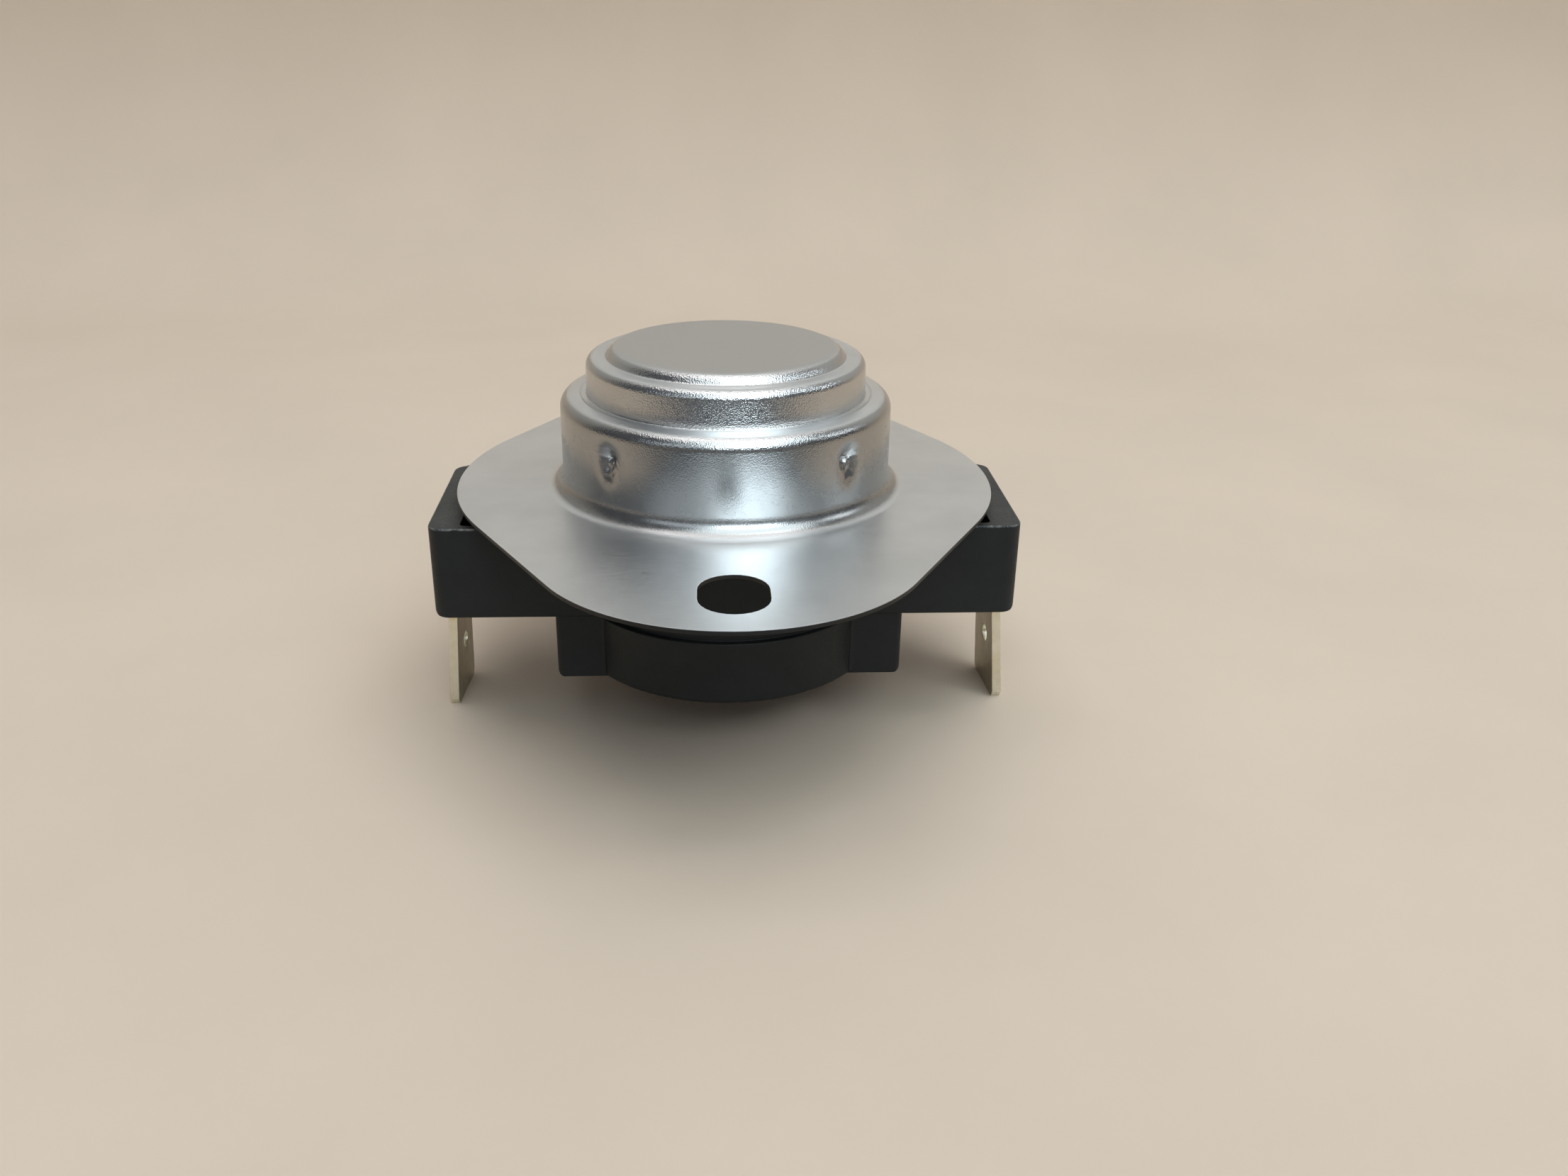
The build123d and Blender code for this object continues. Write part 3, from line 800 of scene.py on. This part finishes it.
class Shade:
    """A node material with a Principled shader and short names for the nodes used here."""

    def __init__(self, name, **sockets):
        self.material = bpy.data.materials.new(name)
        self.material.use_nodes = True
        self.tree = self.material.node_tree
        self.shader = self.tree.nodes["Principled BSDF"]
        for socket, value in sockets.items():
            self.shader.inputs[socket.replace("_", " ")].default_value = value
        self.place = self.node("ShaderNodeTexCoord").outputs["Object"]
        self.normal = self.node("ShaderNodeNewGeometry").outputs["Normal"]

    def node(self, kind, **settings):
        made = self.tree.nodes.new(kind)
        for key, value in settings.items():
            setattr(made, key, value)
        return made

    def link(self, source, target):
        self.tree.links.new(source, target)

    def stretched(self, scale):
        """Coordinates in millimetres times a scale per axis."""
        mapping = self.node("ShaderNodeMapping", vector_type="POINT")
        mapping.inputs["Scale"].default_value = tuple(s / MM for s in scale)
        self.link(self.place, mapping.inputs["Vector"])
        return mapping.outputs["Vector"]

    def noise(self, scale, detail=4.0, roughness=0.55):
        """Cloudy noise. A tuple scale stretches it along the axes."""
        texture = self.node("ShaderNodeTexNoise")
        texture.inputs["Scale"].default_value = 1.0
        texture.inputs["Detail"].default_value = detail
        texture.inputs["Roughness"].default_value = roughness
        scale = scale if isinstance(scale, tuple) else (scale, scale, scale)
        self.link(self.stretched(scale), texture.inputs["Vector"])
        return texture.outputs["Fac"]

    def cells(self, scale):
        """Distance to the nearest of many scattered points."""
        texture = self.node("ShaderNodeTexVoronoi", feature="F1")
        texture.inputs["Scale"].default_value = 1.0
        self.link(self.stretched((scale, scale, scale)), texture.inputs["Vector"])
        return texture.outputs["Distance"]

    def height(self):
        """Height in millimetres."""
        split = self.node("ShaderNodeSeparateXYZ")
        self.link(self.stretched((1, 1, 1)), split.inputs[0])
        return split.outputs["Z"]

    def facing(self, axis="Z"):
        """How far the surface faces along an axis, from -1 to 1."""
        split = self.node("ShaderNodeSeparateXYZ")
        self.link(self.normal, split.inputs[0])
        return split.outputs[axis]

    def fit(self, value, low, high, new_low=0.0, new_high=1.0, smooth_step=False):
        """Maps a value's range onto another, clamped."""
        node = self.node("ShaderNodeMapRange", clamp=True)
        if smooth_step:
            node.interpolation_type = "SMOOTHSTEP"
        node.inputs["From Min"].default_value = low
        node.inputs["From Max"].default_value = high
        node.inputs["To Min"].default_value = new_low
        node.inputs["To Max"].default_value = new_high
        self.link(value, node.inputs["Value"])
        return node.outputs["Result"]

    def math(self, operation, first, second=0.0):
        node = self.node("ShaderNodeMath", operation=operation)
        for socket, value in zip(node.inputs, (first, second)):
            if isinstance(value, (int, float)):
                socket.default_value = value
            else:
                self.link(value, socket)
        return node.outputs[0]

    def times(self, first, second):
        return self.math("MULTIPLY", first, second)

    def mix(self, share, first, second):
        """Colour between two colours or links."""
        node = self.node("ShaderNodeMix", data_type="RGBA")
        for name, value in (("Factor", share), ("A", first), ("B", second)):
            socket = next(s for s in node.inputs if s.name == name and s.enabled)
            if isinstance(value, tuple):
                socket.default_value = (*value, 1.0)
            else:
                self.link(value, socket)
        return next(s for s in node.outputs if s.enabled)

    def bump(self, height, strength, distance):
        """Adds relief, in millimetres, to the relief made so far."""
        node = self.node("ShaderNodeBump")
        node.inputs["Strength"].default_value = strength
        node.inputs["Distance"].default_value = distance * MM
        self.link(height, node.inputs["Height"])
        normal = self.shader.inputs["Normal"]
        if normal.is_linked:
            self.link(normal.links[0].from_socket, node.inputs["Normal"])
        self.link(node.outputs["Normal"], normal)

    def colour(self, value):
        self.link(value, self.shader.inputs["Base Color"])

    def roughness(self, value):
        self.link(value, self.shader.inputs["Roughness"])


def aluminium_material():
    """Satin drawn aluminium: bright brushed flats and walls with sparkling grain, with painted
    shade on the walls and on the sheared rims.
    """
    flat_colours = (0.78, 0.785, 0.785), (0.85, 0.855, 0.855)
    # Painted shade: the walls are coloured a darker grey than the flats.
    wall_shade_colours = (0.36, 0.355, 0.345), (0.51, 0.505, 0.495)
    plateau_colour = (0.66, 0.655, 0.645)
    # Painted shade: sheared rims coloured near black. Their extra roughness is the metal's own.
    sheared_rim_shade_colour = (0.05, 0.049, 0.047)
    m = Shade("satin_aluminium", Metallic=1.0)
    brushed = m.noise((0.6, 10.0, 10.0), 4.0, 0.7)
    sparkle = m.cells(8.0)
    patches = m.noise(1.1, 3.0, 0.6)
    cloud = m.noise(0.16, 3.0, 0.5)
    height = m.height()

    # Where the surface is flat, wall, sheared rim or plateau
    flat = m.fit(m.facing(), 0.80, 0.98, smooth_step=True)
    wall = m.math("SUBTRACT", 1.0, flat)
    rim = m.fit(height, FLANGE_TOP, FLANGE_TOP - 0.06)
    sheared = m.times(m.fit(m.facing(), 0.5, 0.2), rim)
    plateau = m.times(flat, m.fit(height, HEAD_TOP - 0.4, HEAD_TOP))

    bright = m.mix(m.fit(cloud, 0.35, 0.65), *flat_colours)
    # Painted shade: walls darker than the flats, darkest below the shoulder.
    drawn = m.mix(m.fit(height, HEAD_SHOULDER - 0.9, HEAD_SHOULDER), *wall_shade_colours)
    sheet = m.mix(wall, bright, drawn)
    sheet = m.mix(plateau, sheet, plateau_colour)
    # Painted shade on the sheared rims of the flange and slots.
    m.colour(m.mix(sheared, sheet, sheared_rim_shade_colour))

    lower = m.fit(height, HEAD_SHOULDER, HEAD_SHOULDER - 2.0, 0.0, 0.06)
    wall_rough = m.math("ADD", m.fit(patches, 0.3, 0.7, 0.17, 0.23), lower)
    flat_rough = m.fit(brushed, 0.3, 0.7, 0.29, 0.38)
    rough = m.math("ADD", m.times(flat, flat_rough), m.times(wall, wall_rough))
    m.roughness(m.math("ADD", rough, m.times(sheared, 0.25)))

    m.bump(m.times(brushed, flat), 1.0, 0.014)
    upper = m.fit(height, HEAD_SHOULDER - 2.5, HEAD_SHOULDER + 0.5, 0.28, 1.0)
    grain = m.times(upper, m.fit(flat, 0.0, 1.0, 1.0, 0.3))
    m.bump(m.times(sparkle, grain), 1.0, 0.019)
    return m.material


def phenolic_material():
    """Black moulded phenolic: moulded skin, top faces lightened by dust and painted sheen, and
    a top edge lightened by wear and a painted highlight.
    """
    moulded_colours = (0.0075, 0.0105, 0.0112), (0.0110, 0.0145, 0.0155)
    # Dust and painted sheen: colour of the lightened top faces.
    dust_and_sheen_colour = (0.052, 0.051, 0.046)
    # Wear and painted highlight: colour of the lightened top edge.
    scuff_and_highlight_colour = (0.24, 0.24, 0.23)
    m = Shade("black_phenolic", IOR=1.5, Specular_IOR_Level=0.3)
    fine = m.noise(5.0, 5.0, 0.6)
    broad = m.noise(0.35, 4.0, 0.6)
    top = m.fit(m.facing(), 0.6, 0.98, smooth_step=True)
    # Dust and painted sheen: up-facing faces lightened, partly dust, partly painted reflection.
    dusty_and_sheen = m.times(top, m.fit(broad, 0.3, 0.7, 0.45, 1.0))
    base = m.mix(m.fit(broad, 0.3, 0.7), *moulded_colours)
    base = m.mix(dusty_and_sheen, base, dust_and_sheen_colour)
    near_top = m.fit(m.height(), WING_TOP - 0.2, WING_TOP - 0.06)
    edge = m.times(near_top, m.fit(m.facing(), 0.97, 0.85))
    # Wear and a painted highlight along the rounded top edge of the wings.
    scuff_and_highlight = m.times(edge, m.fit(m.noise(1.4, 5.0, 0.7), 0.42, 0.6))
    m.colour(m.mix(scuff_and_highlight, base, scuff_and_highlight_colour))
    m.roughness(m.fit(fine, 0.3, 0.7, 0.42, 0.58))
    m.bump(fine, 0.4, 0.02)
    m.bump(m.noise(0.9, 3.0), 0.3, 0.03)
    return m.material


def tin_material():
    """Tin plate over brass: cream edges, wide faces darkened by painted shade, bare brass edges
    near the wing.
    """
    tin_colours = (0.72, 0.68, 0.53), (0.80, 0.77, 0.66)
    # Painted shade: colour of the wide faces.
    face_shade_colour = (0.36, 0.31, 0.21)
    brass_colour = (0.66, 0.52, 0.17)
    bare_from, bare_to = 8.5, 8.9
    m = Shade("tinned_brass", Metallic=1.0)
    cloud = m.noise(0.8, 4.0)
    drawn = m.noise((6.0, 6.0, 0.6), 4.0, 0.6)
    plated = m.mix(m.fit(cloud, 0.35, 0.65), *tin_colours)
    # Painted shade: the wide faces, facing along X, are darkened.
    face = m.fit(m.math("ABSOLUTE", m.facing("X")), 0.6, 0.9)
    plated = m.mix(m.times(face, 0.9), plated, face_shade_colour)
    edge = m.fit(m.math("ABSOLUTE", m.facing("Y")), 0.6, 0.9)
    ragged = m.math("ADD", m.height(), m.fit(m.noise(1.6, 4.0), 0.3, 0.7, -0.5, 0.5))
    bare = m.times(edge, m.fit(ragged, bare_from, bare_to))
    m.colour(m.mix(bare, plated, brass_colour))
    m.roughness(m.fit(drawn, 0.3, 0.7, 0.24, 0.4))
    m.bump(drawn, 0.2, 0.012)
    m.bump(m.noise(3.0, 3.0), 0.15, 0.02)
    return m.material


def metal_material(name, dark, light, rough, grain=(4.0, 4.0, 4.0)):
    """Plain strip or turned metal with cloudy colour and grain."""
    m = Shade(name, Metallic=1.0)
    m.colour(m.mix(m.fit(m.noise(0.7, 4.0), 0.35, 0.65), dark, light))
    fine = m.noise(grain, 4.0, 0.6)
    m.roughness(m.fit(fine, 0.3, 0.7, rough - 0.06, rough + 0.08))
    m.bump(fine, 0.3, 0.01)
    return m.material


def dull_material(name, dark, light, rough, grain=4.0, relief=0.02):
    """Moulded, fired or pressed material with speckled colour."""
    m = Shade(name)
    fine = m.noise(grain, 5.0, 0.65)
    m.colour(m.mix(m.fit(fine, 0.35, 0.65), dark, light))
    m.roughness(m.fit(m.noise(grain * 0.4, 4.0), 0.3, 0.7, rough - 0.08, rough + 0.08))
    m.bump(fine, 0.35, relief)
    return m.material


# Slot, material, darker and lighter colour, roughness, then the grain where it isn't even
METALS = (
    ("bracket_brass", "strip_brass", (0.72, 0.50, 0.22), (0.82, 0.62, 0.30), 0.3, (0.5, 7, 7)),
    ("rivet_brass", "rivet_brass", (0.66, 0.48, 0.24), (0.78, 0.60, 0.32), 0.33),
    ("spring_copper", "spring_copper", (0.7, 0.4, 0.22), (0.8, 0.5, 0.3), 0.28, (0.5, 8, 8)),
    ("plated_steel", "plated_steel", (0.52, 0.53, 0.54), (0.64, 0.65, 0.66), 0.32),
    ("contact_silver", "contact_silver", (0.78, 0.77, 0.74), (0.90, 0.89, 0.87), 0.27),
    ("bimetal", "bimetal_sheet", (0.44, 0.43, 0.41), (0.58, 0.57, 0.54), 0.3, (0.5, 8, 8)),
)
# Slot, material, darker and lighter colour, roughness, then grain and relief
DULLS = (
    ("pin_ceramic", "pin_ceramic", (0.70, 0.67, 0.59), (0.80, 0.77, 0.70), 0.6, 5.0),
    ("guide_phenolic", "guide_phenolic", (0.05, 0.022, 0.012), (0.09, 0.042, 0.024), 0.5),
    ("fibre", "gasket_fibre", (0.16, 0.06, 0.035), (0.24, 0.10, 0.06), 0.8, 6.0, 0.04),
)


def make_inner_materials():
    """Materials of the pieces inside the case, by record slot."""
    made = {slot: metal_material(*look) for slot, *look in METALS}
    made.update({slot: dull_material(*look) for slot, *look in DULLS})
    return made


def dress(obj, material):
    """Gives a piece one material in its first slot."""
    obj.data.materials.clear()
    obj.data.materials.append(material)


# ---------------------------------------------------------------- stage, light and camera


def make_floor():
    """Pale seamless sweep: level floor that curves up behind the object, greyer higher up."""
    back, bend, front, half_width, top = 0.20, 0.06, -1.2, 1.4, 1.0
    tan_colours = (0.69, 0.565, 0.445), (0.73, 0.595, 0.47)
    grey_colour = (0.66, 0.64, 0.61)
    steps = 16
    path = [(front, 0.0)]
    for step in range(steps + 1):
        angle = math.pi / 2 * step / steps
        path.append((back - bend + bend * math.sin(angle), bend * (1 - math.cos(angle))))
    path.append((back, top))
    bm = bmesh.new()
    rows = []
    for y, z in path:
        rows.append([bm.verts.new((x, y, z)) for x in (-half_width, half_width)])
    for low, high in zip(rows, rows[1:]):
        bm.faces.new((low[0], low[1], high[1], high[0]))
    floor = new_object("floor", bm)
    floor.data.shade_smooth()
    m = Shade("pale_floor", Roughness=0.9)
    tan = m.mix(m.fit(m.noise(0.03, 4.0), 0.3, 0.7), *tan_colours)
    m.colour(m.mix(m.fit(m.height(), 60, 100), tan, grey_colour))
    m.bump(m.noise(0.6, 5.0), 0.2, 0.2)
    dress(floor, m.material)


def make_flag():
    """Dark card low in front, seen only in reflections: painted shade for the shaded floor in
    front, which gives the metal its depth.
    """
    half_width, near, far, height = 0.16, -0.055, -0.30, 0.002
    # Painted shade: the card's dark colour.
    shade_card_colours = (0.05, 0.055, 0.065), (0.07, 0.075, 0.085)
    corners = ((-half_width, near), (half_width, near), (half_width, far), (-half_width, far))
    bm = bmesh.new()
    bm.faces.new([bm.verts.new((x, y, height)) for x, y in corners])
    flag = new_object("flag", bm)
    flag.visible_camera = False
    flag.visible_diffuse = False
    flag.visible_shadow = False
    m = Shade("flag_painted_shade", Roughness=0.95)
    m.colour(m.mix(m.fit(m.noise(0.02, 4.0), 0.3, 0.7), *shade_card_colours))
    dress(flag, m.material)


def area_light(name, place, target, size, power, colour):
    """Soft rectangular light aimed at a point."""
    data = bpy.data.lights.new(name, "AREA")
    data.shape = "RECTANGLE"
    data.size, data.size_y = size
    data.energy = power
    data.color = colour
    light = bpy.data.objects.new(name, data)
    bpy.context.scene.collection.objects.link(light)
    light.location = place
    light.rotation_euler = (Vector(target) - Vector(place)).to_track_quat("-Z", "Y").to_euler()
    return light


# Name, place, size, power and colour of the lights. The glints show only in reflections.
LIGHTS = (
    ("front", (0.17, -0.40, 0.62), (0.85, 0.55), 3.9, (0.82, 0.94, 1.0)),
    ("overhead", (0.0, 0.15, 0.85), (0.9, 0.9), 5.3, (0.98, 0.98, 1.0)),
)
GLINTS = (
    ("window", (0.145, -0.52, 0.30), (0.40, 0.17), 1.75, (0.74, 0.90, 1.0)),
    ("haze", (-0.15, -0.50, 0.28), (0.75, 0.22), 0.5, (0.78, 0.90, 1.0)),
    ("side", (0.50, -0.03, 0.31), (0.24, 0.14), 0.28, (0.85, 0.94, 1.0)),
)


def make_lights():
    """Broad cool light in front, neutral light overhead, glints and a dim cool surround."""
    target = (0, 0, 0.02)
    for name, place, size, power, colour in LIGHTS:
        area_light(name, place, target, size, power, colour)
    for name, place, size, power, colour in GLINTS:
        area_light(name, place, target, size, power, colour).visible_diffuse = False
    world = bpy.data.worlds.new("surround")
    world.use_nodes = True
    background = world.node_tree.nodes["Background"]
    background.inputs["Color"].default_value = (0.85, 0.90, 1.0, 1.0)
    background.inputs["Strength"].default_value = 0.12
    bpy.context.scene.world = world


def make_camera():
    """Camera at the photograph's viewing angle, a hand-held wide lens close to the object."""
    place = Vector((-2.42, -112.0, 59.7)) * MM
    forward = Vector((0.0622, 0.9118, -0.4059)).normalized()
    up = Vector((0.0091, 0.4061, 0.9138))
    right = forward.cross(up).normalized()
    up = right.cross(forward)
    data = bpy.data.cameras.new("camera")
    data.lens = 31.12
    data.sensor_width = 36.0
    data.clip_start = 0.005
    camera = bpy.data.objects.new("camera", data)
    bpy.context.scene.collection.objects.link(camera)
    turn = Matrix((right, up, -forward)).transposed()
    camera.matrix_world = Matrix.Translation(place) @ turn.to_4x4()
    bpy.context.scene.camera = camera


# ---------------------------------------------------------------- build

make_camera()
make_lights()
make_floor()
make_flag()

dress(make_cup(), aluminium_material())
dress(make_case(), phenolic_material())
tin = tin_material()
dress(make_terminal(-1, "left_blade", "left_terminal"), tin)
dress(make_terminal(1, "right_blade", "right_terminal", RIGHT_BLADE_OFFSET), tin)
inner = make_inner_materials()
dress(make_rivets(), inner["rivet_brass"])
dress(make_disc(), inner["bimetal"])

slot_of = {entry["node"]: entry["material_slot"] for entry in frame["record"]["subparts"]}
for node, obj in frame["nodes"].items():
    if slot_of[node] in inner:
        dress(obj, inner[slot_of[node]])

scene = bpy.context.scene
scene.view_settings.view_transform = "Standard"
